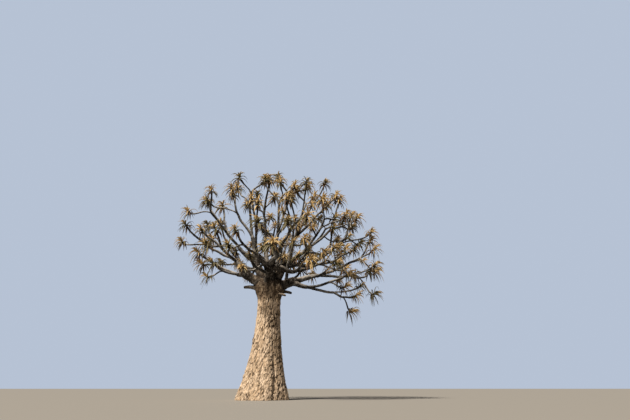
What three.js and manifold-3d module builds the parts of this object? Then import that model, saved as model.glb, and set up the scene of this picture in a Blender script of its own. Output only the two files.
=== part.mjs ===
// A kokerboom, the tree aloe of dry rocky hills: a stout tapering trunk, boughs that fork in two again and
// again into an umbrella of bare stems, and a rosette of fleshy leaves on every tip.
// Millimetres, +Z up. The origin is on the ground at the middle of the trunk's flat cut foot.
// +X is the crown's wide side, and the viewer of the reference picture stands at -Y.
import * as THREE from "three";
import { mergeVertices } from "three/addons/utils/BufferGeometryUtils.js";
import Module from "manifold-3d";

const wasm = await Module();
wasm.setup();

// Driving sizes of the trunk
const FOOT_RADIUS = 545;
const NECK_RADIUS = 248;
const NECK_HEIGHT = 2050;
const HEAD_RADIUS = 300;
const HEAD_HEIGHT = 2330;
const HEAD_DOME = 240;
const LEAN = 97;
const FLARE_POWER = 2;
const FLARE_LOBES = 5;
const LOBE_SHARE = 0.07;
const TRUNK_RINGS = 11;
const HEAD_RINGS = 3;

// Furrows between the swellings of the roots: [turn round the trunk in degrees, lowest, highest, depth]
const FURROWS = [
  [30, 0, 800, 30],
  [85, 150, 1200, 26],
  [140, 0, 900, 30],
  [200, 100, 1000, 24],
  [238, 0, 750, 26],
  [296, 100, 1150, 34],
];
const FURROW_WIDTH = 45;
const SHOULDER = 9.5;
const COLUMN_STEP = 14;

// The furrows that come back as creases in the head, between the limbs, and the share of its radius they take
const CREASES = [30, 140, 238, 296];
const CREASE_SHARE = 0.2;
const CREASE_WIDTH = 60;
const CREASE_START = 1850;
const CREASE_FULL = 2450;

// How far the trunk's columns wander round it as they rise: radians, and radians per millimetre
const WANDER = 0.12;
const WANDER_RATE = 0.0031;

// Old knots where boughs were lost: [turn in degrees, height, radius, bulge]
const KNOTS = [
  [294, 1570, 66, 24],
  [200, 1200, 56, 20],
  [76, 1720, 64, 22],
];

// Driving sizes of the limbs, from the fork outwards. Radii are those of a round limb.
const HEART = new THREE.Vector3(70, 0, 2400);
const LIMB_ROOT = new THREE.Vector3(LEAN, 0, 2200);
const LIMB_RADII = [145, 82];
const BOUGH_RADII = [70, 42];
const STEM_RADIUS = 29;
const TWIG_RADIUS = 17;
const STEM_TAPER = 0.84;
const SIDE_TWIG_SHARE = 0.6;
const BOUGH_SHARE = 0.46;
const FORK_SHARE = 0.55;
const NEXT_FORK_SHARE = 0.42;
const TURN_UP = 0.8;
const PULL = 0.38;
const DOME = 0.5;

// Driving sizes of a rosette and its leaves
const LEAVES = 5;
const LEAF_LENGTH = 215;
const LEAF_WIDTH = 70;
const LEAF_THICKNESS = 16;
const LEAF_ARCH = 0.15;
const LEAF_WIDEST = 0.36;
const DROOP_PITCH = [84, 126];
const UPRIGHT_PITCH = [26, 46];

const GAP = 0.3;
const SLIVER = 0.02;
const TOLERANCE = 1.5;
const CLEARANCE = 6;
const SEED = 7;
const DEGREE = Math.PI / 180;
const UP = new THREE.Vector3(0, 0, 1);

// How far a mass's rosettes lie from its middle heading, in degrees, by how many it has
const SPREAD = { 2: 7, 3: 9.5 };

// The crown, limb by limb. Headings are seen from the heart of the fork: azimuth in degrees round from +X,
// 90 being away from the viewer, and rise above level. A limb is [azimuth, rise, length]. Each bough lists
// its masses of rosettes: [azimuth, rise, reach to the rosettes, number of rosettes, turn of their ring].
// The top's boughs leave the trunk itself and need no limb.
const CROWN = {
  left: {
    limb: [190, 24, 560],
    boughs: {
      left_low: [[192, 13, 1450, 2, 90], [171, 23, 1780, 2, 20]],
      left_far: [[180, 31, 2300, 2, 30], [166, 40, 2080, 2, 0], [214, 30, 1800, 2, 90]],
    },
  },
  left_high: {
    limb: [172, 58, 560],
    boughs: {
      left_upper: [[193, 49, 2500, 3, 30], [154, 51, 2500, 2, 90]],
      left_top: [[176, 63, 2580, 3, 150], [168, 77, 2740, 3, 105]],
    },
  },
  top: {
    limb: null,
    boughs: {
      top_back: [[118, 80, 2700, 2, 90], [98, 62, 2750, 3, 0]],
      top_front: [[300, 81, 2520, 3, 0], [30, 77, 2780, 3, 90]],
    },
  },
  front: {
    limb: [268, 46, 480],
    boughs: {
      front_left: [[254, 51, 2100, 2, 120], [243, 22, 1850, 2, 90]],
      front: [[271, 23, 2120, 3, 30], [294, 42, 2200, 3, 30]],
      front_right: [[326, 13, 1850, 3, 90], [300, 15, 1850, 3, 0]],
    },
  },
  right: {
    limb: [350, 52, 600],
    boughs: {
      right_top: [[345, 68, 2560, 3, 60], [12, 64, 2830, 2, 0], [12, 56, 2860, 2, 0]],
      right_upper: [[342, 48, 2360, 3, 0], [0, 43, 2700, 3, 330], [26, 44, 2620, 3, 60]],
      right_far: [[1, 33, 2680, 3, 330], [338, 29, 1950, 3, 0], [20, 22, 2450, 3, 30]],
    },
  },
  right_low: {
    limb: [343, 8, 560],
    boughs: {
      right_side: [[351, 17, 2560, 3, 60], [357, 6, 2430, 3, 30]],
      right_arm: [[345, -9, 2040, 3, 180], [337, 1, 1850, 2, 50]],
    },
  },
  back: {
    limb: [95, 44, 520],
    boughs: {
      back_left: [[138, 40, 2500, 2, 90], [120, 25, 2200, 2, 0]],
      back_right: [[62, 56, 2750, 3, 90], [92, 36, 2500, 3, 90], [62, 26, 2300, 3, 0]],
    },
  },
};

// Broken ends of dead boughs under the crown: [azimuth, height on the trunk, rise, length from the trunk's
// middle, radius]
const STUBS = [
  [183, 2235, 12, 560, 38],
  [352, 2200, 4, 480, 34],
  [322, 2190, -6, 430, 30],
];

const bark = new THREE.MeshStandardMaterial({ color: "#ab9272", roughness: 0.9, metalness: 0 });
const greyBark = new THREE.MeshStandardMaterial({ color: "#7a6a58", roughness: 0.85, metalness: 0 });
const foliage = new THREE.MeshStandardMaterial({ color: "#a08a4c", roughness: 0.65, metalness: 0 });

// Numbers, directions and points

// A linear congruential generator of 32 bits: numbers from 0 up to 1, the same in any language
function seeded(seed) {
  let state = seed >>> 0;
  const next = () => {
    state = (Math.imul(state, 1664525) + 1013904223) >>> 0;
    return state / 4294967296;
  };
  for (let i = 0; i < 3; i++) {
    next();
  }
  return next;
}

function pick([low, high], random) {
  return low + (high - low) * random();
}

function heading(azimuth, rise) {
  const [a, e] = [azimuth * DEGREE, rise * DEGREE];
  return new THREE.Vector3(Math.cos(e) * Math.cos(a), Math.cos(e) * Math.sin(a), Math.sin(e));
}

// The unit vector along a weighted sum: blend(a, 1, b, 0.5) leans twice as much to a as to b.
function blend(...pairs) {
  const sum = new THREE.Vector3();
  for (let i = 0; i < pairs.length; i += 2) {
    sum.addScaledVector(pairs[i], pairs[i + 1]);
  }
  return sum.normalize();
}

function between(a, b) {
  return b.clone().sub(a).normalize();
}

function middle(points) {
  const sum = new THREE.Vector3();
  points.forEach((p) => sum.add(p));
  return sum.divideScalar(points.length);
}

// Solids of wood and leaf

function solidOf(geometry) {
  const bare = geometry.clone();
  bare.deleteAttribute("normal");
  bare.deleteAttribute("uv");
  const merged = mergeVertices(bare, 1e-3);
  const faces = merged.index.array;
  const kept = [];
  for (let i = 0; i < faces.length; i += 3) {
    const [a, b, c] = [faces[i], faces[i + 1], faces[i + 2]];
    if (a !== b && b !== c && c !== a) kept.push(a, b, c);
  }
  const mesh = new wasm.Mesh({
    numProp: 3,
    vertProperties: merged.attributes.position.array,
    triVerts: new Uint32Array(kept),
  });
  return new wasm.Manifold(mesh);
}

function unionOf(solids) {
  return wasm.Manifold.union(solids).simplify(TOLERANCE);
}

// One span of a limb: a cubic curve that leaves `from` along `start` and arrives at `to` along `end`.
function spanBetween(from, start, to, end, radii) {
  const pull = from.distanceTo(to) * PULL;
  const controls = [from.clone().addScaledVector(start, pull), to.clone().addScaledVector(end, -pull)];
  return { curve: new THREE.CubicBezierCurve3(from, ...controls, to), radii, to, end };
}

// The hoops of a limb, `rings` to each span, with cross axes carried along so that its sides don't twist.
function hoopsOf({ spans, rings }) {
  const hoops = [];
  const across = new THREE.Vector3().crossVectors(UP, spans[0].curve.getTangent(0)).normalize();
  for (let k = 0; k <= spans.length * rings; k++) {
    const index = Math.min(Math.floor(k / rings), spans.length - 1);
    const { curve, radii } = spans[index];
    const t = k / rings - index;
    const tangent = curve.getTangent(t);
    across.addScaledVector(tangent, -across.dot(tangent)).normalize();
    const lift = new THREE.Vector3().crossVectors(tangent, across);
    const radius = THREE.MathUtils.lerp(radii[0], radii[1], t);
    hoops.push({ point: curve.getPoint(t), tangent, across: across.clone(), lift, radius });
  }
  return hoops;
}

function roundTheHoop({ across, lift }, angle) {
  return blend(across, Math.sin(angle), lift, -Math.cos(angle));
}

// A cylinder bent along the limb's hoops. Its few sides enclose the area of the round limb. `extra` swells it
// all over, to cut a neighbour clear of it.
function limbSolid(limb, extra = 0) {
  const { sides, dome } = limb;
  const hoops = hoopsOf(limb);
  const last = hoops.length - 1;
  const corner = Math.sqrt((2 * Math.PI) / (sides * Math.sin((2 * Math.PI) / sides)));
  const swell = extra / Math.cos(Math.PI / sides);
  const geometry = new THREE.CylinderGeometry(1, 1, 1, sides, last);
  const position = geometry.getAttribute("position");
  for (let i = 0; i < position.count; i++) {
    const [x, y, z] = [position.getX(i), position.getY(i), position.getZ(i)];
    const ring = Math.round((y + 0.5) * last);
    const { point, tangent, across, lift, radius } = hoops[ring];
    const isMiddle = x * x + z * z < 0.5;
    let shift = ring === 0 ? -extra : 0;
    if (ring === last) shift = isMiddle ? dome * radius + 2 * extra : extra;
    const place = point.clone().addScaledVector(tangent, shift);
    place.addScaledVector(across, x * (corner * radius + swell));
    place.addScaledVector(lift, -z * (corner * radius + swell));
    position.setXYZ(i, place.x, place.y, place.z);
  }
  return solidOf(geometry);
}

// The trunk's radius at a height: a flare that thins to the neck, a swelling head under the fork, and a dome
function trunkRadius(z) {
  if (z <= NECK_HEIGHT) {
    return NECK_RADIUS + (FOOT_RADIUS - NECK_RADIUS) * Math.pow(1 - z / NECK_HEIGHT, FLARE_POWER);
  }
  if (z <= HEAD_HEIGHT) {
    const share = THREE.MathUtils.smoothstep(z, NECK_HEIGHT, HEAD_HEIGHT);
    return THREE.MathUtils.lerp(NECK_RADIUS, HEAD_RADIUS, share);
  }
  const v = (z - HEAD_HEIGHT) / HEAD_DOME;
  return HEAD_RADIUS * Math.sqrt(1 - v * v);
}

// The turns of the trunk's columns in degrees: each furrow's bed, its two shoulders and even steps between
function trunkTurns() {
  return FURROWS.flatMap(([bed], i) => {
    const next = i + 1 < FURROWS.length ? FURROWS[i + 1][0] : FURROWS[0][0] + 360;
    const [from, to] = [bed + SHOULDER, next - SHOULDER];
    const steps = Math.max(1, Math.round((to - from) / COLUMN_STEP));
    return [bed, ...Array.from({ length: steps + 1 }, (_, k) => THREE.MathUtils.lerp(from, to, k / steps))];
  });
}

// How deep a groove is at a distance across from its bed, as a share of its full depth
function grooveShare(turn, bed, radius, width) {
  const off = THREE.MathUtils.euclideanModulo(turn - bed + 180, 360) - 180;
  return Math.exp(-(((off * DEGREE * radius) / width) ** 2));
}

// A point of the trunk's surface in the column of a turn: its radius swells into lobes where the roots begin
// and shrinks in furrows and creases, the column wanders, and the whole slides sideways with the lean.
function trunkPoint(radius, turn, z) {
  const share = THREE.MathUtils.clamp(z / NECK_HEIGHT, 0, 1);
  const lean = LEAN * Math.sin(share * 90 * DEGREE);
  if (radius === 0) return new THREE.Vector3(lean, 0, z);
  const angle = turn * DEGREE + WANDER * Math.sin(WANDER_RATE * z);
  const round = radius * (1 + LOBE_SHARE * (1 - share) ** 2 * Math.cos(FLARE_LOBES * angle + 1));
  let left = round;
  for (const [bed, low, high, depth] of FURROWS) {
    const starts = THREE.MathUtils.smoothstep(z, low - 250, low + 50);
    const ends = 1 - THREE.MathUtils.smoothstep(z, high - 400, high);
    left -= depth * starts * ends * grooveShare(turn, bed, round, FURROW_WIDTH);
  }
  const crease = CREASE_SHARE * THREE.MathUtils.smoothstep(z, CREASE_START, CREASE_FULL);
  for (const bed of CREASES) {
    left -= crease * radius * grooveShare(turn, bed, round, CREASE_WIDTH);
  }
  return new THREE.Vector3(left * Math.cos(angle) + lean, left * Math.sin(angle), z);
}

// A lathed trunk with its columns moved to the furrows
function trunkSolid(extra = 0) {
  const heights = Array.from({ length: TRUNK_RINGS + 1 }, (_, i) => (NECK_HEIGHT * i) / TRUNK_RINGS);
  heights.push((NECK_HEIGHT + HEAD_HEIGHT) / 2);
  for (let i = 0; i < HEAD_RINGS; i++) {
    heights.push(HEAD_HEIGHT + HEAD_DOME * Math.sin((i / HEAD_RINGS) * 90 * DEGREE));
  }
  const profile = [new THREE.Vector2(0, -extra)];
  for (const z of heights) {
    const shift = z === 0 ? -extra : extra * Math.max(0, (z - HEAD_HEIGHT) / HEAD_DOME);
    profile.push(new THREE.Vector2(trunkRadius(z) + extra, z + shift));
  }
  profile.push(new THREE.Vector2(0, HEAD_HEIGHT + HEAD_DOME + 1.5 * extra));
  const turns = trunkTurns();
  const geometry = new THREE.LatheGeometry(profile, turns.length).rotateX(90 * DEGREE);
  const position = geometry.getAttribute("position");
  for (let i = 0; i < position.count; i++) {
    const ring = i % profile.length;
    const turn = turns[Math.floor(i / profile.length) % turns.length];
    const { x, y, z } = trunkPoint(profile[ring].x, turn, profile[ring].y);
    position.setXYZ(i, x, y, z);
  }
  return solidOf(geometry);
}

// A knot: a low boss, half sunk in the trunk
function knotSolid([turn, z, size, bulge]) {
  const geometry = new THREE.IcosahedronGeometry(1, 0).scale(bulge, size, size).rotateZ(turn * DEGREE);
  const { x, y } = trunkPoint(trunkRadius(z), turn, z);
  return solidOf(geometry.translate(x, y, z));
}

function stubSolid([azimuth, z, rise, length, radius], extra = 0) {
  const out = heading(azimuth, rise);
  const from = new THREE.Vector3(LEAN, 0, z);
  const to = from.clone().addScaledVector(out, length);
  const span = spanBetween(from, out, to, blend(out, 1, UP, -0.45), [radius * 1.7, radius * 0.8]);
  return limbSolid({ spans: [span], sides: 6, rings: 3, dome: DOME }, extra);
}

// A leaf: two three-sided points base to base, flat above and keeled below. Its middle arches above the line
// from root to tip.
function leafSolid(root, out, lift, length) {
  const side = new THREE.Vector3().crossVectors(lift, out).normalize();
  const geometry = new THREE.SphereGeometry(1, 3, 2);
  const position = geometry.getAttribute("position");
  for (let i = 0; i < position.count; i++) {
    const [x, y, z] = [position.getX(i), position.getY(i), position.getZ(i)];
    const isEnd = Math.abs(y) > 0.5;
    const along = isEnd ? (1 + y) / 2 : LEAF_WIDEST;
    const place = root.clone().addScaledVector(out, along * length);
    place.addScaledVector(side, (z / Math.cos(30 * DEGREE)) * (LEAF_WIDTH / 2));
    place.addScaledVector(lift, (isEnd ? 0 : LEAF_ARCH * length) + (x * LEAF_THICKNESS) / 1.5);
    position.setXYZ(i, place.x, place.y, place.z);
  }
  return solidOf(geometry);
}

// Leaves round a twig's end: one droops from each of its sides, and the rest stand up from its corners.
function leavesOf({ hoop, sides }, random) {
  return Array.from({ length: LEAVES }, (_, i) => {
    const droops = i < sides;
    const turn = ((droops ? i + 0.5 : i) * 360) / sides + (droops ? 24 * (random() - 0.5) : 0);
    const pitch = pick(droops ? DROOP_PITCH : UPRIGHT_PITCH, random) * DEGREE;
    const away = roundTheHoop(hoop, turn * DEGREE);
    const out = blend(hoop.tangent, Math.cos(pitch), away, Math.sin(pitch));
    const lift = blend(hoop.tangent, Math.sin(pitch), away, -Math.cos(pitch));
    const root = hoop.point.clone().addScaledVector(hoop.tangent, droops ? -28 : -10);
    root.addScaledVector(away, droops ? 0 : 9);
    return leafSolid(root, out, lift, LEAF_LENGTH * (0.94 + 0.12 * random()));
  });
}

// The growth of the crown

// Every span of wood so far as balls along its curve, so that a new one can be tested against the rest
const wood = [];
const BALLS = 12;

function ballsOf({ curve, radii }, owner) {
  return Array.from({ length: BALLS + 1 }, (_, i) => {
    const t = i / BALLS;
    return { at: curve.getPoint(t), radius: THREE.MathUtils.lerp(radii[0], radii[1], t), owner };
  });
}

// True where the outer part of a span keeps clear of all wood but that of its own mass and bough.
function isClear(span, mass) {
  const outer = ballsOf(span).slice(Math.ceil(0.4 * BALLS));
  const others = wood.filter(({ owner }) => owner !== mass.name && owner !== mass.boughName);
  return others.every((b) => outer.every((a) => a.at.distanceTo(b.at) > a.radius + b.radius + CLEARANCE));
}

// The rosettes of a mass lie on a ring about its heading, each at a reach of its own.
function rosettePoints([azimuth, rise, reach, count, turn], random) {
  const aim = heading(azimuth, rise);
  const side = new THREE.Vector3().crossVectors(UP, aim).normalize();
  const lift = new THREE.Vector3().crossVectors(aim, side);
  const off = Math.tan(SPREAD[count] * DEGREE);
  return Array.from({ length: count }, (_, i) => {
    const a = (turn + (360 * i) / count) * DEGREE;
    const away = blend(aim, 1, side, off * Math.cos(a), lift, off * Math.sin(a));
    return HEART.clone().addScaledVector(away, reach * (1.02 - 0.08 * random()));
  });
}

// Two groups of rosettes, split across the direction in which they spread most. The first is never smaller.
function halves(points) {
  let [a, b] = points;
  for (const p of points) {
    for (const q of points) {
      if (p.distanceTo(q) > a.distanceTo(b) + 1) {
        [a, b] = [p, q];
      }
    }
  }
  const axis = between(a, b);
  const sorted = [...points].sort((p, q) => p.dot(axis) - q.dot(axis));
  const cut = Math.ceil(points.length / 2);
  return [sorted.slice(0, cut), sorted.slice(cut)];
}

// A limb grows a span towards its rosettes and forks: one group of them carries it on, and the other starts a
// side twig, until each end bears one rosette and turns up.
function growLimb(mass, limb, points, from, start, radius) {
  const isTwig = points.length === 1;
  const centre = middle(points);
  const share = limb.spans.length || limb.isSide ? NEXT_FORK_SHARE : FORK_SHARE;
  const to = isTwig ? centre : from.clone().lerp(centre, share);
  const end = isTwig ? blend(between(HEART, to), 1, UP, TURN_UP) : blend(between(from, centre), 1, UP, 0.2);
  const span = spanBetween(from, start, to, end, [radius, isTwig ? TWIG_RADIUS : radius * STEM_TAPER]);
  if (!isClear(span, mass)) return;
  limb.spans.push(span);
  wood.push(...ballsOf(span, mass.name));
  if (isTwig) {
    limb.isWhole = true;
    return;
  }
  const [main, other] = halves(points);
  const startTo = (group) => blend(end, 0.8, between(to, middle(group)), 1);
  const side = { spans: [], sides: 3, rings: 2, dome: 0, isSide: true };
  growLimb(mass, limb, main, to, startTo(main), span.radii[1]);
  growLimb(mass, side, other, to, startTo(other), span.radii[1] * SIDE_TWIG_SHARE);
  if (side.spans.length) mass.limbs.push(side);
}

function massOf(boughName, bough, row, index) {
  const name = `rosettes_${boughName}_${index + 1}`;
  return { name, boughName: `bough_${boughName}`, bough, row, limbs: [] };
}

function growMass(mass, seed) {
  mass.random = seeded(seed);
  const points = rosettePoints(mass.row, mass.random);
  const { to, end } = mass.bough.spans[0];
  const stem = { spans: [], sides: 4, rings: 2, dome: 0 };
  mass.limbs.push(stem);
  mass.root = forkOf(mass.bough);
  growLimb(mass, stem, points, mass.root, blend(end, 0.8, between(to, middle(points)), 1), STEM_RADIUS);
  const whole = mass.limbs.filter((limb) => limb.isWhole);
  mass.rosettes = whole.map((limb) => ({ hoop: hoopsOf(limb).pop(), sides: limb.sides }));
  mass.woodSolid = unionOf(mass.limbs.map((limb) => limbSolid(limb)));
}

// Where the limbs of a fork start: inside the parent's rounded tip
function forkOf({ spans }) {
  const { to, end, radii } = spans[spans.length - 1];
  return to.clone().addScaledVector(end, -0.5 * radii[1]);
}

// The fitting together of the solids

function boxesMeet(a, b) {
  const [p, q] = [a.boundingBox(), b.boundingBox()];
  return [0, 1, 2].every((k) => p.min[k] < q.max[k] && q.min[k] < p.max[k]);
}

function touchesAny(solid, others) {
  return others.some((other) => boxesMeet(solid, other) && !solid.intersect(other).isEmpty());
}

// The largest body left of a solid once its neighbours, swollen by the gap, are cut from it
function cutClear(solid, cutters) {
  const near = cutters.filter((cutter) => boxesMeet(solid, cutter));
  const left = near.reduce((rest, cutter) => rest.subtract(cutter), solid);
  const bodies = left.simplify(SLIVER).decompose();
  return bodies.reduce((most, body) => (body.volume() > most.volume() ? body : most));
}

// A named mesh whose own origin is at `root`, where the piece leaves what carries it
function piece(name, solid, root, material, group) {
  const { vertProperties, triVerts } = solid.getMesh();
  const geometry = new THREE.BufferGeometry();
  geometry.setAttribute("position", new THREE.BufferAttribute(vertProperties, 3));
  geometry.setIndex(new THREE.BufferAttribute(triVerts, 1));
  geometry.translate(-root.x, -root.y, -root.z);
  geometry.computeVertexNormals();
  const mesh = new THREE.Mesh(geometry, material);
  mesh.name = name;
  mesh.position.copy(root).sub(group.position);
  group.add(mesh);
}

// The tree, from the trunk outwards

const tree = new THREE.Group();
const placed = [];
const cutters = [];
const masses = [];

const knots = KNOTS.map((knot) => knotSolid(knot));
const trunk = unionOf([trunkSolid(), ...knots, ...STUBS.map((stub) => stubSolid(stub))]);
piece("trunk", trunk, new THREE.Vector3(), bark, tree);
placed.push(trunk);
cutters.push(unionOf([trunkSolid(GAP), ...STUBS.map((stub) => stubSolid(stub, GAP))]));

function placeLimb(name, limb, group) {
  const solid = cutClear(limbSolid(limb), cutters);
  piece(name, solid, limb.spans[0].curve.getPoint(0), greyBark, group);
  placed.push(solid);
  cutters.push(limbSolid(limb, GAP));
  wood.push(...ballsOf(limb.spans[0], name));
}

function mainLimb([azimuth, rise, length]) {
  const out = heading(azimuth, rise);
  const to = HEART.clone().addScaledVector(out, length);
  const start = blend(between(LIMB_ROOT, to), 1, UP, 0.5);
  const span = spanBetween(LIMB_ROOT, start, to, blend(out, 1, UP, 0.1), LIMB_RADII);
  return { spans: [span], sides: 9, rings: 4, dome: DOME };
}

function boughFrom(parent, rows) {
  const aim = middle(rows.map(([azimuth, rise, reach]) => heading(azimuth, rise).multiplyScalar(reach)));
  const to = HEART.clone().addScaledVector(aim, BOUGH_SHARE);
  const last = parent.spans[0];
  const chord = between(last.to, to);
  const end = blend(aim.clone().normalize(), 1, chord, 1);
  const span = spanBetween(forkOf(parent), blend(last.end, 1, chord, 1), to, end, BOUGH_RADII);
  return { spans: [span], sides: 7, rings: 4, dome: DOME };
}

for (const [limbName, { limb, boughs }] of Object.entries(CROWN)) {
  const group = new THREE.Group();
  group.position.copy(HEART);
  tree.add(group);
  let parent = { spans: [{ to: HEART, end: UP, radii: LIMB_RADII }] };
  if (limb) {
    parent = mainLimb(limb);
    placeLimb(`limb_${limbName}`, parent, group);
  }
  for (const [boughName, rows] of Object.entries(boughs)) {
    const bough = boughFrom(parent, rows);
    placeLimb(`bough_${boughName}`, bough, group);
    rows.forEach((row, index) => masses.push({ ...massOf(boughName, bough, row, index), group }));
  }
}

masses.forEach((mass, index) => growMass(mass, SEED + index + 1));

for (const mass of masses) {
  const others = [...placed, ...masses.filter((m) => m !== mass).map((m) => m.woodSolid)];
  const leaves = mass.rosettes.flatMap((rosette) => leavesOf(rosette, mass.random));
  const kept = leaves.filter((leaf) => !touchesAny(leaf, others));
  placed.push(...kept);
  const solid = cutClear(unionOf([mass.woodSolid, ...kept]), cutters);
  piece(mass.name, solid, mass.root, foliage, mass.group);
  cutters.push(unionOf(mass.limbs.map((limb) => limbSolid(limb, GAP))));
}

export default tree;
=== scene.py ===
"""A kokerboom, dressed for a render around its solids: cracked bark, forking boughs and rosettes of leaves.

Metres, +Z up. The origin is on the ground at the middle of the trunk's foot, +X is the crown's wide side
and the camera stands at -Y. The crown grows by the same rule, sizes and seeded numbers as the solids do, so
every bough and twig lies where its solid lies, and then goes on to finer shoots and to whole rosettes.
"""

import itertools
import math

import bpy
import numpy as np
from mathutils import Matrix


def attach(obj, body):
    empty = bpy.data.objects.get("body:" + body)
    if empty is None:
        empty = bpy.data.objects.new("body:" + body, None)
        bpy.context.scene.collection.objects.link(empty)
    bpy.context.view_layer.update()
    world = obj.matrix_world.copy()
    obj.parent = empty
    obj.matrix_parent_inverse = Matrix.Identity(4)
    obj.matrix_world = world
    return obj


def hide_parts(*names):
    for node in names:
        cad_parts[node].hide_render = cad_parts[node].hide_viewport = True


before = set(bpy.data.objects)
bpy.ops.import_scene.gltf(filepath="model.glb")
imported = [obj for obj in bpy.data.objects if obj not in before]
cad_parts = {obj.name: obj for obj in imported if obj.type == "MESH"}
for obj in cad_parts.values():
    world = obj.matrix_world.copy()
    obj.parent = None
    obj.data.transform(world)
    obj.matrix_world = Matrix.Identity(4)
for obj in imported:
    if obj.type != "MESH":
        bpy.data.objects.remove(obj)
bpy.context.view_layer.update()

UP = np.array([0.0, 0.0, 1.0])

# The trunk, as in the solids
FOOT_RADIUS = 0.545
NECK_RADIUS = 0.248
NECK_HEIGHT = 2.05
HEAD_RADIUS = 0.3
HEAD_HEIGHT = 2.33
HEAD_DOME = 0.24
LEAN = 0.097
FLARE_POWER = 2.0
FLARE_LOBES = 5
LOBE_SHARE = 0.07
LOBE_PHASE = 1.0

# The limbs, as in the solids. Radii are those of a round limb.
HEART = np.array([0.07, 0.0, 2.4])
LIMB_ROOT = np.array([LEAN, 0.0, 2.2])
LIMB_RADII = (0.145, 0.082)
BOUGH_RADII = (0.070, 0.042)
STEM_RADIUS = 0.029
TWIG_RADIUS = 0.017
STEM_TAPER = 0.84
SIDE_TWIG_SHARE = 0.6
BOUGH_SHARE = 0.46
FORK_SHARE = 0.55
NEXT_FORK_SHARE = 0.42
TURN_UP = 0.8
PULL = 0.38
CLEARANCE = 0.006
BALLS = 12
SEED = 7

# How far a mass's rosettes lie from its middle heading, in degrees, by how many it has
SPREAD = {2: 7, 3: 9.5}

# The crown, limb by limb. Headings are seen from the heart of the fork: azimuth in degrees round from +X,
# 90 being away from the camera, and rise above level. A limb is (azimuth, rise, length). Each bough lists
# its masses of rosettes: (azimuth, rise, reach to the rosettes, number of rosettes, turn of their ring).
CROWN = {
    "left": ((190, 24, 0.56), {
        "left_low": [(192, 13, 1.45, 2, 90), (171, 23, 1.78, 2, 20)],
        "left_far": [(180, 31, 2.3, 2, 30), (166, 40, 2.08, 2, 0), (214, 30, 1.8, 2, 90)],
    }),
    "left_high": ((172, 58, 0.56), {
        "left_upper": [(193, 49, 2.5, 3, 30), (154, 51, 2.5, 2, 90)],
        "left_top": [(176, 63, 2.58, 3, 150), (168, 77, 2.74, 3, 105)],
    }),
    "top": (None, {
        "top_back": [(118, 80, 2.7, 2, 90), (98, 62, 2.75, 3, 0)],
        "top_front": [(300, 81, 2.52, 3, 0), (30, 77, 2.78, 3, 90)],
    }),
    "front": ((268, 46, 0.48), {
        "front_left": [(254, 51, 2.1, 2, 120), (243, 22, 1.85, 2, 90)],
        "front": [(271, 23, 2.12, 3, 30), (294, 42, 2.2, 3, 30)],
        "front_right": [(326, 13, 1.85, 3, 90), (300, 15, 1.85, 3, 0)],
    }),
    "right": ((350, 52, 0.6), {
        "right_top": [(345, 68, 2.56, 3, 60), (12, 64, 2.83, 2, 0), (12, 56, 2.86, 2, 0)],
        "right_upper": [(342, 48, 2.36, 3, 0), (0, 43, 2.7, 3, 330), (26, 44, 2.62, 3, 60)],
        "right_far": [(1, 33, 2.68, 3, 330), (338, 29, 1.95, 3, 0), (20, 22, 2.45, 3, 30)],
    }),
    "right_low": ((343, 8, 0.56), {
        "right_side": [(351, 17, 2.56, 3, 60), (357, 6, 2.43, 3, 30)],
        "right_arm": [(345, -9, 2.04, 3, 180), (337, 1, 1.85, 2, 50)],
    }),
    "back": ((95, 44, 0.52), {
        "back_left": [(138, 40, 2.5, 2, 90), (120, 25, 2.2, 2, 0)],
        "back_right": [(62, 56, 2.75, 3, 90), (92, 36, 2.5, 3, 90), (62, 26, 2.3, 3, 0)],
    }),
}

# Broken ends of dead boughs under the crown, as in the solids: (azimuth, height on the trunk, rise, length,
# radius). At the root and the tip they are STUB_TAPER times as thick, and they sag towards the tip.
STUBS = [(183, 2.235, 12, 0.56, 0.038), (352, 2.2, 4, 0.48, 0.034), (322, 2.19, -6, 0.43, 0.03)]
STUB_TAPER = (1.7, 0.8)
STUB_SAG = 0.45

# Finer shoots, which the scene adds, by what they spring from: (tries on each span, chance of each, least
# and greatest length, radii at the root and the tip)
SHOOTS = {
    "limb": (5, 1.0, (0.75, 1.4), (0.036, 0.02)),
    "bough": (3, 1.0, (0.4, 0.75), (0.026, 0.016)),
    "rosettes": (1, 0.3, (0.2, 0.34), (0.017, 0.0136)),
}

# A shoot's tip keeps SHOOT_ROOM from every rosette, stays above LOWEST_SHOOT and has at most SHOOT_REACH of
# the crown's own reach, and the shoot keeps SHOOT_CLEARANCE from other wood. Of those that end to the left
# of BARE_SIDE, BARE_SHARE are left out.
SHOOT_ROOM = 0.24
SHOOT_CLEARANCE = 0.03
SHOOT_REACH = 0.97
LOWEST_SHOOT = 2.6
BARE_SIDE = 0.1
BARE_SHARE = 0.8
SHOOT_SEED = 41

# The trunk's grid, and the sides and steps of the tubes. The rows of the dome lie on an arc that ends short
# of its top.
TRUNK_COLUMNS = 288
TRUNK_ROW = 0.0085
DOME_ROWS = 26
DOME_ARC = 0.47 * math.pi
BOUGH_SIDES = 30
BOUGH_STEP = 0.015
STUB_SIDES = 18
TWIG_SIDES = 9
TWIG_STEP = 0.03

# How far the middles of the tubes bend to and fro, and over what length
BENDS = {"limb": 0.012, "bough": 0.03, "stub": 0.01, "twig": 0.012}
BEND_LENGTH = 0.17

# Furrows between the swellings of the roots, as in the solids: (turn round the trunk in degrees, lowest,
# highest, depth)
FURROWS = [(30, 0.0, 0.8, 0.03), (85, 0.15, 1.2, 0.026), (140, 0.0, 0.9, 0.03),
           (200, 0.1, 1.0, 0.024), (238, 0.0, 0.75, 0.026), (296, 0.1, 1.15, 0.034)]
FURROW_WIDTH = 0.045

# The furrows that come back as creases in the head, between the limbs, and their share of its radius
CREASES = [30, 140, 238, 296]
CREASE_SHARE = 0.2
CREASE_WIDTH = 0.06
CREASE_RISE = (1.85, 2.45)

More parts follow.
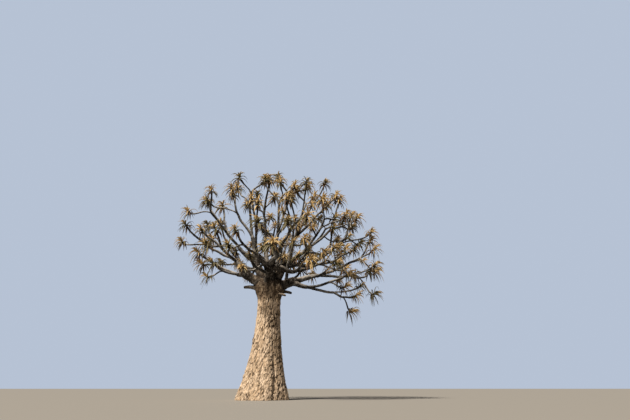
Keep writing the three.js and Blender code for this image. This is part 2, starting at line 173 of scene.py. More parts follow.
# Old knots where boughs were lost, as in the solids: (turn in degrees, height, radius, bulge). The hollow
# in a knot and the dark ring round it are shares of its radius.
KNOTS = [(294, 1.57, 0.075, 0.036), (200, 1.2, 0.05, 0.026), (76, 1.72, 0.06, 0.03)]
KNOT_STRETCH = 0.85
KNOT_HOLLOW = 0.42
KNOT_RING = 1.15

# How far the trunk's columns wander round it as they rise: radians, and radians per metre
WANDER = 0.12
WANDER_RATE = 3.1

# Plates of bark: (width, height, radians that they lean round the stem in a metre). A plate is PLATE_RISE
# thick on the trunk, and BOUGH_ROUGHNESS of the radius on a bough. TRUNK_LEVEL and BOUGH_LEVEL say which
# share of that thickness lies at the stem's own surface. PLATE_TILT lifts a plate's lower edge, and its
# outline strays by up to PLATE_BEND each way. A crack dips over CRACK_SHARE of a plate, and is dark over
# CRACK_WIDTH of it, give or take CRACK_SCATTER. A flake is missing where a noise rises through
# FLECK_LEVELS: that spot lies FLECK_DEPTH of the thickness deeper, and is FLECK_DARK as dark as a crack.
# The dark of cracks and missing flakes is partly the bark's own colour and partly painted shade in them.
TRUNK_PLATES = (0.032, 0.14, -0.4)
BOUGH_PLATES = (0.06, 0.11, 0.0)
TRUNK_LEVEL = 0.55
BOUGH_LEVEL = 0.6
PLATE_RISE = 0.016
BOUGH_ROUGHNESS = 0.09
PLATE_TILT = 0.6
PLATE_BEND = 0.009
CRACK_SHARE = 0.2
CRACK_WIDTH = 0.27
CRACK_SCATTER = 0.16
FLECK_LEVELS = (0.3, 0.5)
FLECK_DEPTH = 0.5
FLECK_DARK = 0.75

# The bark smooths in the trunk's head, by this share and between these heights, and at the ground
HEAD_SMOOTHED = 0.35
HEAD_SMOOTHING = (2.0, 2.5)
GROUND_SMOOTHING = (-0.05, 0.03)

# Flutes along a bough near the heart: their number, their depth as a share of the radius, where they end
FLUTES = 5
FLUTE_DEPTH = 0.11
FLUTE_ENDS = (0.4, 1.0)

# The fill of a fork's creases: its reach, as a share of the limb's radius and within limits, its rise as a
# share of that reach, the number of balls that stand for a limb, and how much painted shade darkens the
# bark in the creases
WEB_SHARE = 0.9
WEB_REACH = (0.05, 0.16)
WEB_RISE = 0.25
WEB_BALLS = 40
PAINTED_CREASE_SHADE = 1.8

# Where old bark gives way to young: heights on the trunk, and distances from the heart on a bough
YOUNG_ON_TRUNK = (2.25, 2.7)
YOUNG_ON_BOUGH = (0.2, 0.9)

# Soft noises in the bark: (amount, size of a patch, seed). A bough's lumps are shares of its roughness.
TRUNK_LUMPS = [(0.002, 0.022, 5), (0.006, 0.1, 6)]
BOUGH_LUMPS = [(0.3, 0.03, 8), (0.7, 0.11, 9)]
AGE_PATCHES = (0.12, 0.12, 7)
# The next row makes the painted light on the tops of bark patchy.
PAINTED_LIGHT_PATCHES = (0.3, 0.07, 12)
FLUTE_BENDS = (3, 0.4, 13)
KNOT_WOBBLE = (0.3, 0.045, 14)

# The seeds of the trunk's plates, of the first bough's and stub's bends and plates, and of the first
# twig's bends
TRUNK_SEED = 11
BOUGH_SEED = 20
STUB_SEED = 60
TWIG_SEED = 100

# A rosette and its leaves. The stations are shares of a leaf's length. The pitch, in degrees from the
# shoot, and the droop are those of the youngest leaf and the oldest. The leaves spring from the last
# LEAFY_LENGTH of the shoot, ROOT_OUT from its middle, the youngest HEART_LIFT past its tip. The first one
# is turned by up to FIRST_TURN radians.
LEAVES = 26
LEAF_LENGTH = 0.25
LEAF_WIDTH = 0.044
LEAF_THICKNESS = 0.012
LEAF_CUP = 0.3
LEAF_STATIONS = np.array([0.0, 0.13, 0.32, 0.52, 0.71, 0.88])
LEAF_CORNERS = 6
LEAF_PITCH = (10, 98)
LEAF_DROOP = (1.5, 3.8)
GOLDEN_ANGLE = 137.508
FIRST_TURN = 6.28
LEAFY_LENGTH = 0.11
HEART_LIFT = 0.012
ROOT_OUT = 0.006

# The tints of rosettes: the share of each, and the age up to which its leaves are golden. Older leaves are
# olive, and dry past DRY_AGE.
TINTS = {"golden": (0.62, 0.66), "olive": (0.38, 0.22)}
DRY_AGE = 0.84
AGE_SCATTER = 0.12

# The sizes of rosettes on the twigs that the solids have, and on the finer shoots
TWIG_ROSETTES = (0.96, 1.22)
SHOOT_ROSETTES = (0.7, 0.92)

# Colours of the bark. A bark is (scale of the grain's noise, strength of its bump, weight of the marked
# tone, sums of tones at which it is darkest and palest), and a leaf (colour, deeper clouds, roughness).
OLD_BARK = (0.55, 0.4, 0.265)
OLD_BARK_PALE = (0.75, 0.595, 0.45)
# The crack colours also stand for painted shade in creases, knot hollows and missing flakes.
OLD_CRACK_AND_SHADE = (0.055, 0.035, 0.021)
OLD_SPOT = (0.6, 0.49, 0.34)
# Young bark's tone is mostly painted light: dark is painted shade below and in the fork, pale the lit tops.
YOUNG_BARK = (0.009, 0.008, 0.0075)
YOUNG_BARK_PALE = (0.44, 0.415, 0.39)
YOUNG_CRACK_AND_SHADE = (0.007, 0.005, 0.004)
YOUNG_SPOT = (0.44, 0.425, 0.4)
SPOT_SHARE = 0.26
TRUNK_BARK = (40.0, 0.5, 0.4, (0.5, 0.88))
BOUGH_BARK = (60.0, 0.6, 0.7, (0.54, 1.22))
LEAF_LOOKS = {
    "golden": ((0.55, 0.395, 0.185), (0.2, 0.135, 0.062), 0.42),
    "olive": ((0.15, 0.13, 0.064), (0.07, 0.06, 0.03), 0.42),
    "dry": ((0.12, 0.07, 0.035), (0.05, 0.031, 0.017), 0.7),
}

# The photograph's view, and the studio. Angles are in degrees, and the sun's are its slant from straight
# down and its turn round the tree.
LENS = 28.0
SENSOR_WIDTH = 36.0
CAMERA_PLACE = (0.0, -11.0, 0.23)
CAMERA_LOOK_UP = 20.0
CAMERA_TURN = -5.83
FLOOR_REACH = 300.0
FLOOR_COLOUR = (0.3, 0.287, 0.268, 1)
SOFT_COLOUR = (0.5, 0.63, 0.88, 1)
SOFT_STRENGTH = 0.07
BACKDROP_COLOUR = (0.47, 0.54, 0.66, 1)
SUN_COLOUR = (1.0, 0.9, 0.76)
SUN_STRENGTH = 6.1
SUN_WIDTH = 9
SUN_SLANT = 44
SUN_TURN = -40


# Numbers, directions and points

def seeded(seed):
    """Numbers from 0 up to 1 by a linear congruential rule of 32 bits, without its first three. They are
    the same as the solids' numbers."""
    state = seed
    for drawn in itertools.count():
        state = (state * 1664525 + 1013904223) % 2**32
        if drawn >= 3:
            yield state / 2**32


def unit(vectors):
    """Each vector divided by its length."""
    return vectors / np.linalg.norm(vectors, axis=-1, keepdims=True)


def blend(*pairs):
    """The unit vector along a weighted sum: blend(a, 1, b, 0.5) leans twice as much to a as to b."""
    return unit(sum(vector * weight for vector, weight in zip(pairs[::2], pairs[1::2])))


def between(a, b):
    """The unit vector from a towards b."""
    return unit(b - a)


def heading(azimuth, rise):
    """The unit vector at an azimuth round from +X and a rise above level, in degrees."""
    a, e = math.radians(azimuth), math.radians(rise)
    return np.array([math.cos(e) * math.cos(a), math.cos(e) * math.sin(a), math.sin(e)])


def ramp(ends, share):
    """Runs evenly from the first of two values to the second, by a share of the way."""
    return ends[0] + (ends[1] - ends[0]) * share


def smooth_step(x, low, high):
    """0 up to `low`, 1 from `high` on, and between them the cubic that starts and ends level."""
    share = np.clip((x - low) / (high - low), 0, 1)
    return share * share * (3 - 2 * share)


def bell(x):
    """A bell curve: e to the power of minus x squared, so 1 at 0 and about a third at 1."""
    return np.exp(-(x**2))


def hashed(cubes, seed):
    """Three numbers from 0 to 1 for each cube of a lattice, mixed from its whole-number place."""
    mixed = (cubes * [73856093, 19349663, 83492791]).sum(axis=-1) + seed * 2654435761
    mixed = (mixed & 0xFFFFFFFF).astype(np.uint64)
    numbers = []
    for factor in (2246822519, 3266489917, 668265263):
        mixed = ((mixed ^ (mixed >> np.uint64(15))) * np.uint64(factor)) & np.uint64(0xFFFFFFFF)
        numbers.append(mixed / 2**32)
    return np.stack(numbers, axis=-1)


def cell_noise(points, seed):
    """How much nearer the nearest cell centre is than the next one, how far above the point that centre
    lies, and a number of its cell.

    Each unit cube holds one centre, at a random place in it. The first result is 0 where two cells meet.
    """
    base = np.floor(points).astype(np.int64)
    nearest = np.full(len(points), 9.0)
    second = nearest.copy()
    above = np.zeros(len(points))
    mark = np.zeros(len(points))
    for offset in itertools.product((-1, 0, 1), repeat=3):
        cube = base + offset
        centre = hashed(cube, seed)
        way = cube + centre - points
        gap = np.linalg.norm(way, axis=1)
        is_closer = gap < nearest
        second = np.where(is_closer, nearest, np.minimum(second, gap))
        above = np.where(is_closer, way[:, 2], above)
        mark = np.where(is_closer, centre[:, 0], mark)
        nearest = np.where(is_closer, gap, nearest)
    return second - nearest, above, mark


def soft_noise(points, seed):
    """Smooth noise from -1 to 1: random numbers at a lattice's corners, blended across each cube."""
    base = np.floor(points).astype(np.int64)
    share = smooth_step(points - base, 0, 1)
    total = np.zeros(len(points))
    for corner in itertools.product((0, 1), repeat=3):
        weight = np.prod(np.where(corner, share, 1 - share), axis=1)
        total += weight * hashed(base + corner, seed)[:, 0]
    return 2 * total - 1


def soft_vectors(points, seed):
    """Three soft noises as a vector at each point."""
    return np.stack([soft_noise(points, seed + k) for k in (1, 2, 3)], axis=1)


def patches(points, *rows):
    """The sum of soft noises, each of a row (amount, size of a patch, seed)."""
    return sum(amount * soft_noise(points / size, seed) for amount, size, seed in rows)


# The growth of the crown, by the solids' rule

class Span:
    """A cubic curve that leaves `start_point` along `start` and arrives at `to` along `end`, and its
    radius at both ends."""

    def __init__(self, start_point, start, to, end, radii):
        pull = np.linalg.norm(to - start_point) * PULL
        self.controls = np.array([start_point, start_point + start * pull, to - end * pull, to])
        self.to = to
        self.end = end
        self.radii = radii

    def points(self, t):
        """Bernstein's weights of the four control points at shares t of the way."""
        t = np.asarray(t)[:, None]
        weights = np.hstack([(1 - t) ** 3, 3 * t * (1 - t) ** 2, 3 * t**2 * (1 - t), t**3])
        return weights @ self.controls

    def radius(self, t):
        """An even taper from one end's radius to the other's."""
        return ramp(self.radii, np.asarray(t))

    def length(self):
        """The sum of 16 straight steps along the curve."""
        return np.linalg.norm(np.diff(self.points(np.linspace(0, 1, 17)), axis=0), axis=1).sum()


class Limb:
    """A run of spans that carry each other on, and the node that owns it. A whole one bears a rosette."""

    def __init__(self, owner, spans=(), is_side=False):
        self.owner = owner
        self.spans = list(spans)
        self.is_side = is_side
        self.is_whole = False

    def kind(self):
        """The first word of the owner's name: limb, bough or rosettes."""
        return self.owner.split("_")[0]


def fork_of(span):
    """Where the limbs of a fork start: inside the parent's rounded tip, by half its radius."""
    return span.to - span.end * 0.5 * span.radii[1]


def main_limb(azimuth, rise, length):
    """A thick first limb, from inside the trunk's head to a point on its heading from the heart."""
    out = heading(azimuth, rise)
    to = HEART + out * length
    start = blend(between(LIMB_ROOT, to), 1, UP, 0.5)
    return Span(LIMB_ROOT, start, to, blend(out, 1, UP, 0.1), LIMB_RADII)


def bough_from(parent, rows):
    """A bough goes a share of the way to the mean of its masses' reaches."""
    aim = np.mean([heading(azimuth, rise) * reach for azimuth, rise, reach, *_ in rows], axis=0)
    to = HEART + aim * BOUGH_SHARE
    chord = between(parent.to, to)
    start = blend(parent.end, 1, chord, 1)
    return Span(fork_of(parent), start, to, blend(unit(aim), 1, chord, 1), BOUGH_RADII)


def rosette_points(row, numbers):
    """The rosettes of a mass lie on a ring about its heading, each at 0.94 to 1.02 of the mass's reach."""
    azimuth, rise, reach, count, turn = row
    aim = heading(azimuth, rise)
    side = unit(np.cross(UP, aim))
    lift = np.cross(aim, side)
    off = math.tan(math.radians(SPREAD[count]))
    points = []
    for i in range(count):
        a = math.radians(turn + 360 * i / count)
        away = blend(aim, 1, side, off * math.cos(a), lift, off * math.sin(a))
        points.append(HEART + away * reach * (1.02 - 0.08 * next(numbers)))
    return points


def halves(points):
    """Two groups of rosettes, split across the direction in which they spread most. The first has as many
    as the second, or one more."""
    a, b = points[:2]
    for p, q in itertools.product(points, points):
        if np.linalg.norm(p - q) > np.linalg.norm(a - b) + 0.001:
            a, b = p, q
    axis = between(a, b)
    in_order = sorted(points, key=lambda p: float(p @ axis))
    cut = math.ceil(len(points) / 2)
    return in_order[:cut], in_order[cut:]


class Crown:
    """Every limb of the tree, and the balls of wood that new twigs keep clear of. A mass's stem comes
    before its side twigs."""

    def __init__(self):
        self.boughs = []
        self.stems = []
        self.shoots = []
        self.balls = []

    def add_balls(self, span, owner):
        """Notes a span's wood as balls, evenly along it and as thick as it is there."""
        t = np.linspace(0, 1, BALLS + 1)
        self.balls.append((span.points(t), span.radius(t), owner))

    def is_clear(self, span, owners, clearance=CLEARANCE):
        """True where a span, past its first two fifths, keeps clear of all wood but these owners'."""
        t = np.linspace(0, 1, BALLS + 1)[math.ceil(0.4 * BALLS):]
        points, radii = span.points(t), span.radius(t)
        for centres, others, owner in self.balls:
            gaps = np.linalg.norm(points[:, None] - centres[None], axis=2) - radii[:, None] - others[None]
            if owner not in owners and gaps.min() <= clearance:
                return False
        return True

    def add_bough(self, name, span):
        """A limb or bough of one span."""
        self.boughs.append(Limb(name, [span]))
        self.add_balls(span, name)

    def grow_limb(self, owners, limb, points, start_point, start, radius):
        """A limb grows a span towards its rosettes and forks: one group of them carries it on, and the
        other starts a side twig, until each end bears one rosette and turns up. A span that would touch
        other wood is left out, with all that it would bear."""
        is_twig = len(points) == 1
        centre = np.mean(points, axis=0)
        share = NEXT_FORK_SHARE if limb.spans or limb.is_side else FORK_SHARE
        to = centre if is_twig else start_point + (centre - start_point) * share
        end = blend(between(start_point, centre), 1, UP, 0.2)
        if is_twig:
            end = blend(between(HEART, to), 1, UP, TURN_UP)
        span = Span(start_point, start, to, end, (radius, TWIG_RADIUS if is_twig else radius * STEM_TAPER))
        if not self.is_clear(span, owners):
            return
        limb.spans.append(span)
        self.add_balls(span, owners[0])
        if is_twig:
            limb.is_whole = True
            return
        main, other = halves(points)
        side = Limb(owners[0], is_side=True)
        starts = [blend(end, 0.8, between(to, np.mean(group, axis=0)), 1) for group in (main, other)]
        self.grow_limb(owners, limb, main, to, starts[0], span.radii[1])
        self.grow_limb(owners, side, other, to, starts[1], span.radii[1] * SIDE_TWIG_SHARE)
        if side.spans:
            self.stems.append(side)

    def grow_mass(self, name, bough_name, bough, row, seed):
        """A mass's stem leaves the tip of its bough and forks towards the mass's rosettes."""
        points = rosette_points(row, seeded(seed))
        start = blend(bough.end, 0.8, between(bough.to, np.mean(points, axis=0)), 1)
        stem = Limb(name)
        self.stems.append(stem)
        self.grow_limb((name, bough_name), stem, points, fork_of(bough), start, STEM_RADIUS)


def shoot_from(span, lengths, radii, numbers):
    """A side shoot off a span, at 0.25 to 0.85 of the way along it. Its place, its direction across the
    span and its length are seeded, and it turns up at its tip."""
    t = 0.25 + 0.6 * next(numbers)
    start_point, ahead = span.points([t, t + 0.02])
    along = between(start_point, ahead)
    turn = 2 * math.pi * next(numbers)
    side = unit(np.cross(along, [math.cos(turn), math.sin(turn), 0.3]))
    to = start_point + blend(along, 0.7, side, 1, UP, 0.3) * ramp(lengths, next(numbers))
    end = blend(between(HEART, to), 1, UP, TURN_UP)
    return Span(start_point, blend(along, 0.5, side, 1), to, end, radii)


def nearest_tip(point, tips):
    """The rosette whose heading from the heart is nearest to this point's heading."""
    way = between(HEART, point)
    return max(tips, key=lambda tip: float(between(HEART, tip) @ way))


def grow_shoots(crown):
    """Finer twigs, which the solids leave out: side shoots off all limbs, each with a smaller rosette. One
    that would touch other wood, crowd a rosette or reach past the crown is left out, and so are most of
    those on the crown's narrow side."""
    numbers = seeded(SHOOT_SEED)
    tips = [limb.spans[-1].to for limb in crown.stems if limb.is_whole]
    for limb in crown.stems + crown.boughs:
        tries, chance, lengths, radii = SHOOTS[limb.kind()]
        for span in limb.spans * tries:
            if next(numbers) > chance:
                continue
            shoot = shoot_from(span, lengths, radii, numbers)
            is_free = min(np.linalg.norm(shoot.to - tip) for tip in tips) > SHOOT_ROOM
            furthest = SHOOT_REACH * np.linalg.norm(nearest_tip(shoot.to, tips) - HEART)
            is_inside = shoot.to[2] > LOWEST_SHOOT and np.linalg.norm(shoot.to - HEART) < furthest
            is_bare = next(numbers) < BARE_SHARE and shoot.to[0] < BARE_SIDE
            is_wanted = is_free and is_inside and not is_bare
            if is_wanted and crown.is_clear(shoot, (limb.owner,), SHOOT_CLEARANCE):
                twig = Limb(limb.owner, [shoot])
                twig.is_whole = True
                tips.append(shoot.to)
                crown.add_balls(shoot, limb.owner)
                crown.shoots.append(twig)


def grow_crown():
    """All the limbs and boughs first, then the masses, in the order of the table, then the finer shoots.
    Boughs without a limb start at the heart."""
    crown = Crown()
    masses = []
    for limb_name, (limb, boughs) in CROWN.items():
        parent = Span(HEART - UP * 0.1, UP, HEART, UP, LIMB_RADII)
        if limb:
            parent = main_limb(*limb)
            crown.add_bough(f"limb_{limb_name}", parent)
        for bough_name, rows in boughs.items():
            bough = bough_from(parent, rows)
            crown.add_bough(f"bough_{bough_name}", bough)
            masses += [(f"rosettes_{bough_name}_{i + 1}", f"bough_{bough_name}", bough, row)
                       for i, row in enumerate(rows)]
    for i, mass in enumerate(masses):
        crown.grow_mass(*mass, SEED + i + 1)
    grow_shoots(crown)
    return crown


# Meshes from arrays

class Joined:
    """Closed bodies joined into one mesh: their corners, their faces and, for bark, three marks at each
    corner: how dark its cracks and painted shade make it, how old, and its tone from dark to pale, which
    holds painted light."""

    def __init__(self):
        self.corners = []
        self.quads = []
        self.triangles = []
        self.marks = []
        self.count = 0

    def add_bodies(self, rings, first, last, marks=None):
        """Adds a batch of bodies. `rings` holds the corners by body, ring and place round the ring, `first`
        and `last` the points that close the two ends, and `marks` a row for each kind of mark, with those
        of the two closing points at its end."""
        bodies, rows, columns, _ = rings.shape
        size = rows * columns + 2
        corners = np.concatenate([rings.reshape(bodies, -1, 3), first[:, None], last[:, None]], axis=1)
        base = self.count + size * np.arange(bodies)[:, None]
        row, column = np.meshgrid(np.arange(rows - 1), np.arange(columns), indexing="ij")
        here = row * columns + column
        beside = row * columns + (column + 1) % columns
        quad = np.stack([here, beside, beside + columns, here + columns], axis=-1).reshape(-1, 4)
        low = np.arange(columns)
        next_low = (low + 1) % columns
        top = (rows - 1) * columns
        low_fan = np.stack([next_low, low, np.full(columns, size - 2)], axis=-1)
        high_fan = np.stack([top + low, top + next_low, np.full(columns, size - 1)], axis=-1)
        fans = np.concatenate([low_fan, high_fan])
        self.quads.append((base[:, :, None] + quad[None]).reshape(-1, 4))
        self.triangles.append((base[:, :, None] + fans[None]).reshape(-1, 3))
        self.corners.append(corners.reshape(-1, 3))
        if marks is not None:
            self.marks.append(marks)
        self.count += bodies * size

    def mesh(self, name):
        """One smooth mesh of all the bodies, with the marks as its attributes."""
        quads = np.concatenate(self.quads)
        triangles = np.concatenate(self.triangles)
        loops = np.concatenate([quads.ravel(), triangles.ravel()]).astype(np.int32)
        starts = np.concatenate([4 * np.arange(len(quads)), 4 * len(quads) + 3 * np.arange(len(triangles))])
        mesh = bpy.data.meshes.new(name)
        mesh.vertices.add(self.count)
        mesh.vertices.foreach_set("co", np.concatenate(self.corners).astype(np.float32).ravel())
        mesh.loops.add(len(loops))
        mesh.loops.foreach_set("vertex_index", loops)
        mesh.polygons.add(len(starts))
        mesh.polygons.foreach_set("loop_start", starts.astype(np.int32))
        mesh.polygons.foreach_set("use_smooth", np.ones(len(starts), bool))
        mesh.update(calc_edges=True)
        mesh.validate()
        if self.marks:
            for label, values in zip(("crack_and_shade", "age", "tone"), np.concatenate(self.marks, axis=1)):
                mark = mesh.attributes.new(label, "FLOAT", "POINT")
                mark.data.foreach_set("value", values.astype(np.float32))
        return mesh


def add_object(name, data):
    """A new object in the scene, at the origin."""
    made = bpy.data.objects.new(name, data)
    bpy.context.scene.collection.objects.link(made)
    return made


def place(name, joined, material, nodes):
    """A piece of the tree, which stands for some of the solids."""
    piece = add_object(name, joined.mesh(name))
    piece.data.materials.append(material)
    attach(piece, "root")
    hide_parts(*nodes)


def normals_of(grid):
    """Unit normals of a grid of points that is closed round its second axis, one row for each point: the
    cross product of the steps across and along."""
    across = np.roll(grid, -1, axis=1) - np.roll(grid, 1, axis=1)
    along = np.gradient(grid, axis=0)
    normals = np.cross(across, along).reshape(-1, 3)
    return normals / np.maximum(np.linalg.norm(normals, axis=-1, keepdims=True), 1e-12)


# The surface of wood

def lean(z):
    """How far the trunk's middle moves sideways by a height: a quarter of a sine wave up to the neck."""
    return LEAN * np.sin(np.clip(z / NECK_HEIGHT, 0, 1) * math.pi / 2)


def trunk_radius(z):
    """Thins from the foot to the neck by a power of the height left, swells to the head, ends in a dome."""
    left = np.clip(1 - z / NECK_HEIGHT, 0, 1)
    flare = NECK_RADIUS + (FOOT_RADIUS - NECK_RADIUS) * left**FLARE_POWER
    head = flare + (HEAD_RADIUS - NECK_RADIUS) * smooth_step(z, NECK_HEIGHT, HEAD_HEIGHT)
    dome = np.sqrt(np.clip(1 - np.maximum(0, (z - HEAD_HEIGHT) / HEAD_DOME) ** 2, 0, 1))
    return head * dome


def wood_balls(crown):
    """The limbs, the boughs and the trunk from 1.6 m up as balls along their middles: their centres and
    radii, by name."""
    t = np.linspace(0, 1, WEB_BALLS)
    wood = {limb.owner: (limb.spans[0].points(t), limb.spans[0].radius(t)) for limb in crown.boughs}
    z = np.linspace(1.6, HEAD_HEIGHT, 24)
    wood["trunk"] = (np.stack([lean(z), 0 * z, z], axis=1), trunk_radius(z))
    return wood


def webbed(points, normals, sizes, owner, wood):
    """Fills the creases of the forks: a point near another limb's surface rises along its normal, by
    WEB_RISE of the reach at the crease itself and by less, as a square, with the distance from it. The
    reach grows with the limb. Gives the moved points, and how near each is to the crease, from 0 to 1."""
    gap = np.full(len(points), 9.0)
    for name, (centres, radii) in wood.items():
        if name != owner:
            away = np.linalg.norm(points[:, None] - centres[None], axis=2) - radii[None]
            gap = np.minimum(gap, away.min(axis=1))
    reach = np.clip(WEB_SHARE * sizes, *WEB_REACH)
    share = np.clip(1 - np.abs(gap) / reach, 0, 1)
    return points + normals * (WEB_RISE * reach * share**2)[:, None], share


def plates(points, sizes, seed):
    """Bark plates as cells longer than wide that lean round the stem as they rise, each with its lower edge
    lifted. The cracks between them are deep and dark in some patches and fainter in others, and flakes are
    missing here and there. Gives each point's height, from 0 in the cracks to about 1 on a plate, how dark
    its cracks and missing flakes make it, partly as the bark's own colour and partly as painted shade, and
    the tone of its plate."""
    width, height, twist = sizes
    angle = twist * points[:, 2]
    x = points[:, 0] * np.cos(angle) - points[:, 1] * np.sin(angle)
    y = points[:, 0] * np.sin(angle) + points[:, 1] * np.cos(angle)
    turned = np.stack([x, y, points[:, 2]], axis=1)
    bent = turned + PLATE_BEND * soft_vectors(turned / 0.05, seed)
    edge, above, mark = cell_noise(bent / [width, width, height], seed)
    deep = soft_noise(turned / [width, width, 0.5 * height], seed + 5)
    dark = 0.4 + 0.6 * smooth_step(deep, -0.1, 0.15)
    dip = (0.4 + 0.6 * dark) * (1 - smooth_step(edge, 0, CRACK_SHARE))
    flakes = soft_noise(turned / [0.6 * width, 0.6 * width, 0.5 * height], seed + 6)
    fleck = smooth_step(flakes, *FLECK_LEVELS)
    rise = (1 - dip) * (0.6 + 0.4 * mark + PLATE_TILT * above) - FLECK_DEPTH * fleck
    wide = CRACK_WIDTH + CRACK_SCATTER * soft_noise(bent / (0.7 * height), seed + 4)
    crack_and_shade = dark * (1 - smooth_step(edge / wide, 0.1, 1.0))
    return rise, np.maximum(crack_and_shade, FLECK_DARK * fleck), mark


def from_heart(points):
    """How far each point is from the heart of the fork."""
    return np.linalg.norm(points - HEART, axis=1)


def painted_top_light(normals, points):
    """Painted light and shade on smooth bark: pale on top of a bough, dark beneath, patchy between."""
    return smooth_step(normals[:, 2] + patches(points, PAINTED_LIGHT_PATCHES), -0.2, 0.85)


def painted_fork_shade(points):
    """Painted shade in the fork: how much of its paleness bark keeps, three fifths near the heart
    and all of it further out."""
    return 0.6 + 0.4 * smooth_step(from_heart(points), 0.25, 1.3)


# The trunk

def turned_off(column, bed):
    """How far a column stands round the trunk from a bed given in degrees: radians from -pi to pi."""
    return (column - math.radians(bed) + math.pi) % (2 * math.pi) - math.pi


def trunk_grid():
    """The turn and height of each point of the trunk's grid: even rows, then rows that draw together as a
    sine does towards the dome's top."""
    rows = int((HEAD_HEIGHT + HEAD_DOME) / TRUNK_ROW)
    z = np.concatenate([np.linspace(0, HEAD_HEIGHT, rows - DOME_ROWS, endpoint=False),
                        HEAD_HEIGHT + HEAD_DOME * np.sin(np.linspace(0, DOME_ARC, DOME_ROWS))])
    return np.meshgrid(np.linspace(0, 2 * math.pi, TRUNK_COLUMNS, endpoint=False), z)


def trunk_relief(column, turn, z):
    """The trunk's radius at each point of the grid, and how dark the knots make it.

    The round radius has lobes that fade as a square up to the neck. Furrows, and the creases of the head,
    are bell curves across their beds. A furrow comes in over 0.3 m and fades out over its highest 0.4 m. A
    knot is a bell-shaped bulge with a wobbly outline and a narrower hollow in it. It is dark in the hollow,
    partly as painted shade, and in a ring round the bulge.
    """
    share = np.clip(z / NECK_HEIGHT, 0, 1)
    lobe = 1 + LOBE_SHARE * (1 - share) ** 2 * np.cos(FLARE_LOBES * turn + LOBE_PHASE)
    round_radius = trunk_radius(z) * lobe
    radius = round_radius.copy()
    for bed, low, high, depth in FURROWS:
        off = turned_off(column, bed) * round_radius
        fade = smooth_step(z, low - 0.25, low + 0.05) * (1 - smooth_step(z, high - 0.4, high))
        radius -= depth * fade * bell(off / FURROW_WIDTH)
    crease = CREASE_SHARE * smooth_step(z, *CREASE_RISE) * trunk_radius(z)
    for bed in CREASES:
        radius -= crease * bell(turned_off(column, bed) * round_radius / CREASE_WIDTH)
    dark = np.zeros_like(radius)
    unrolled = np.stack([HEAD_RADIUS * column.ravel(), z.ravel(), 0 * z.ravel()], axis=1)
    wobble = 1 + patches(unrolled, KNOT_WOBBLE).reshape(z.shape)
    for bed, height, size, bulge in KNOTS:
        off = turned_off(column, bed) * round_radius
        away = np.hypot(off, (z - height) * KNOT_STRETCH) * wobble / size
        radius += bulge * (bell(away) - 1.1 * bell(away / KNOT_HOLLOW))
        # The dark of the hollow is partly painted shade.
        dark += 1.2 * bell(away / 0.6) + 0.8 * bell((away - KNOT_RING) / 0.22)
    return radius, dark.ravel()


def trunk_body(wood):
    """The trunk on a grid of turn and height, moved sideways by the lean. Its forks are filled, and lumps
    and plates of bark stand out along its normals, made nearly level, but not at the ground, where its cut
    stays flat. The bark is old and straw-coloured and turns young in the head, where its tone is painted
    light and shade. Painted shade darkens its creases and the hollows of its knots."""
    column, z = trunk_grid()
    turn = column + WANDER * np.sin(WANDER_RATE * z)
    radius, knot_dark = trunk_relief(column, turn, z)
    grid = np.stack([radius * np.cos(turn) + lean(z), radius * np.sin(turn), z], axis=-1)
    normals = normals_of(grid)
    outward = unit(normals * [1, 1, 0.15])
    flat = grid.reshape(-1, 3)
    height, crack_and_shade, tone = plates(flat, TRUNK_PLATES, TRUNK_SEED)
    fade = 1 - HEAD_SMOOTHED * smooth_step(flat[:, 2], *HEAD_SMOOTHING)
    rise = PLATE_RISE * (height - TRUNK_LEVEL) * fade + patches(flat, *TRUNK_LUMPS)
    rise = rise * smooth_step(flat[:, 2], *GROUND_SMOOTHING)
    moved, near_crease = webbed(flat, normals, radius.ravel(), "trunk", wood)
    moved = moved + outward * rise[:, None]
    moved[:, 2] = np.maximum(moved[:, 2], 0)
    moved[flat[:, 2] == 0, 2] = 0
    age = 1 - 0.8 * smooth_step(flat[:, 2] + patches(flat, AGE_PATCHES), *YOUNG_ON_TRUNK)
    # Painted shade darkens the creases of the forks, on top of the cracks and the knots.
    crack_and_shade = np.clip(crack_and_shade * fade + knot_dark + PAINTED_CREASE_SHADE * near_crease, 0, 1)
    # In the head the tone is painted light on top, painted shade beneath and painted shade in the fork.
    tone = age * tone + (1 - age) * painted_top_light(normals, flat) * painted_fork_shade(flat)
    marks = np.stack([np.append(crack_and_shade, [0, 0]), np.append(age, [1, 1]), np.append(tone, [0, 0])])
    rings = moved.reshape(1, *grid.shape)
    body = Joined()
    body.add_bodies(rings, np.array([[0.0, 0.0, 0.0]]), rings[0, -1].mean(axis=0)[None], marks)
    return body


# Limbs, boughs and twigs

def hoops(path):
    """Tangents along a path, and two cross axes at each point, carried along so that no side twists."""
    tangents = unit(np.gradient(path, axis=0))
    across = np.empty_like(path)
    last = np.cross(UP, tangents[0])
    if np.linalg.norm(last) < 0.05:
        last = np.array([1.0, 0.0, 0.0])
    for i, tangent in enumerate(tangents):
        last = unit(last - tangent * (last @ tangent))
        across[i] = last
    return tangents, across, np.cross(tangents, across)


def path_of(spans, step):
    """Points along a limb's spans, about a step apart, and the radius at each."""
    points, radii = [], []
    for span in spans:
        count = max(4, int(span.length() / step))
        t = np.linspace(0, 1, count, endpoint=False)
        points.append(span.points(t))
        radii.append(span.radius(t))
    points.append(spans[-1].to[None])
    radii.append([spans[-1].radii[1]])
    return np.concatenate(points), np.concatenate(radii)


def crooked(path, bend, seed):
    """The path bent to and fro by smooth noise along its length. The bends fade out at both ends, as half
    a sine wave to the power of 0.7."""
    length = np.concatenate([[0], np.cumsum(np.linalg.norm(np.diff(path, axis=0), axis=1))])
    fade = np.maximum(np.sin(math.pi * length / length[-1]), 0) ** 0.7
    line = np.stack([length / BEND_LENGTH, 0 * length, 0 * length], axis=1)
    return path + soft_vectors(line, seed) * (bend * fade)[:, None]


